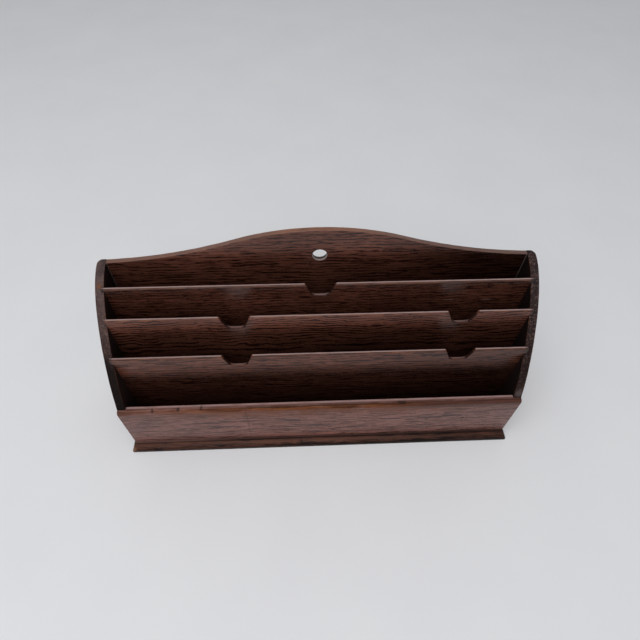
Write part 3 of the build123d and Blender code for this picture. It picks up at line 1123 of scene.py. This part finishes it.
# The room: lengths in metres, directions as unit vectors
FLOOR_HALF = 5.0
FLOOR_MOTTLE = ((9, 9, 9), 4.0)
FLOOR_COLOURS = ((0.3, (0.785, 0.79, 0.81)), (0.7, (0.81, 0.815, 0.83)))
FLOOR_ROUGH, FLOOR_POLISH = 0.6, 0.3
ROOM_COLOUR = (0.97, 0.98, 1.0, 1)
ROOM_LEVEL = {"From Min": 0.2, "From Max": 0.55, "To Min": 0.6, "To Max": 0.38}
LAMP_SIZE, LAMP_POWER = 2.0, 22.0
LAMP_PLACE, LAMP_AIM = Vector((-0.35, -0.7, 1.7)), Vector((0, 0, 0.1))
CAMERA_RIGHT = Vector((0.9990845, -0.0412798, 0.0112348))
CAMERA_AHEAD = Vector((0.0341391, 0.6110121, -0.7908848))
CAMERA_PLACE = Vector((-15.14, -248.28, 471.24)) * MM
CAMERA_LENS, CAMERA_SENSOR = 27.0, 36.0


# A wide pale floor with a faint mottle
def make_floor():
    g = Graph("floor")
    place = g.add("TexCoord").outputs["Object"]
    tint = g.ramp(g.noise(place, *FLOOR_MOTTLE), FLOOR_COLOURS)
    looks = {"Base Color": tint, "Roughness": FLOOR_ROUGH, "Specular IOR Level": FLOOR_POLISH}
    shader = g.add("BsdfPrincipled", looks)
    half = FLOOR_HALF
    data = bpy.data.meshes.new("floor")
    corners = [(-half, -half, 0), (half, -half, 0), (half, half, 0), (-half, half, 0)]
    data.from_pydata(corners, [], [(0, 1, 2, 3)])
    data.materials.append(g.finish(shader.outputs[0]))
    floor = bpy.data.objects.new("floor", data)
    bpy.context.scene.collection.objects.link(floor)


# Soft studio light: a pale room, brightest along the horizon, and one large lamp overhead
def make_light():
    world = bpy.data.worlds.new("room")
    world.use_nodes = True
    tree = world.node_tree
    sky = tree.nodes["Background"]
    sky.inputs["Color"].default_value = ROOM_COLOUR
    direction = tree.nodes.new("ShaderNodeTexCoord").outputs["Generated"]
    parts = tree.nodes.new("ShaderNodeSeparateXYZ")
    level = tree.nodes.new("ShaderNodeMapRange")
    level.interpolation_type = "SMOOTHSTEP"
    for key, value in ROOM_LEVEL.items():
        level.inputs[key].default_value = value
    tree.links.new(direction, parts.inputs[0])
    tree.links.new(parts.outputs["Z"], level.inputs["Value"])
    tree.links.new(level.outputs[0], sky.inputs["Strength"])
    bpy.context.scene.world = world
    lamp = bpy.data.lights.new("soft_lamp", "AREA")
    lamp.shape = "DISK"
    lamp.size = LAMP_SIZE
    lamp.energy = LAMP_POWER
    lamp_object = bpy.data.objects.new("soft_lamp", lamp)
    lamp_object.location = LAMP_PLACE
    lamp_object.rotation_euler = (LAMP_AIM - LAMP_PLACE).to_track_quat("-Z", "Y").to_euler()
    bpy.context.scene.collection.objects.link(lamp_object)


# The camera at the photograph's viewing angle
def make_camera():
    up = CAMERA_RIGHT.cross(CAMERA_AHEAD)
    data = bpy.data.cameras.new("camera")
    data.lens = CAMERA_LENS
    data.sensor_width = CAMERA_SENSOR
    camera = bpy.data.objects.new("camera", data)
    basis = Matrix((CAMERA_RIGHT, up, -CAMERA_AHEAD)).transposed().to_4x4()
    camera.matrix_world = Matrix.Translation(CAMERA_PLACE) @ basis
    bpy.context.scene.collection.objects.link(camera)
    bpy.context.scene.camera = camera


make_base(base_oak())
make_front(front_oak())
for divider, looks in DIVIDERS.items():
    make_divider(divider, divider_oak(divider, **looks))
make_back(back_oak())
for end, looks in ENDS.items():
    make_end(end, end_oak(end, **looks))

# The fasteners keep their CAD shapes
for node, material in (
    ("base_screws", old_steel("screw_steel", SCREW_STEEL)),
    ("back_pins", old_steel("pin_steel", PIN_STEEL)),
):
    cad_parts[node].data.materials.clear()
    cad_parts[node].data.materials.append(material)

make_floor()
make_light()
make_camera()
bpy.context.scene.view_settings.view_transform = "Standard"
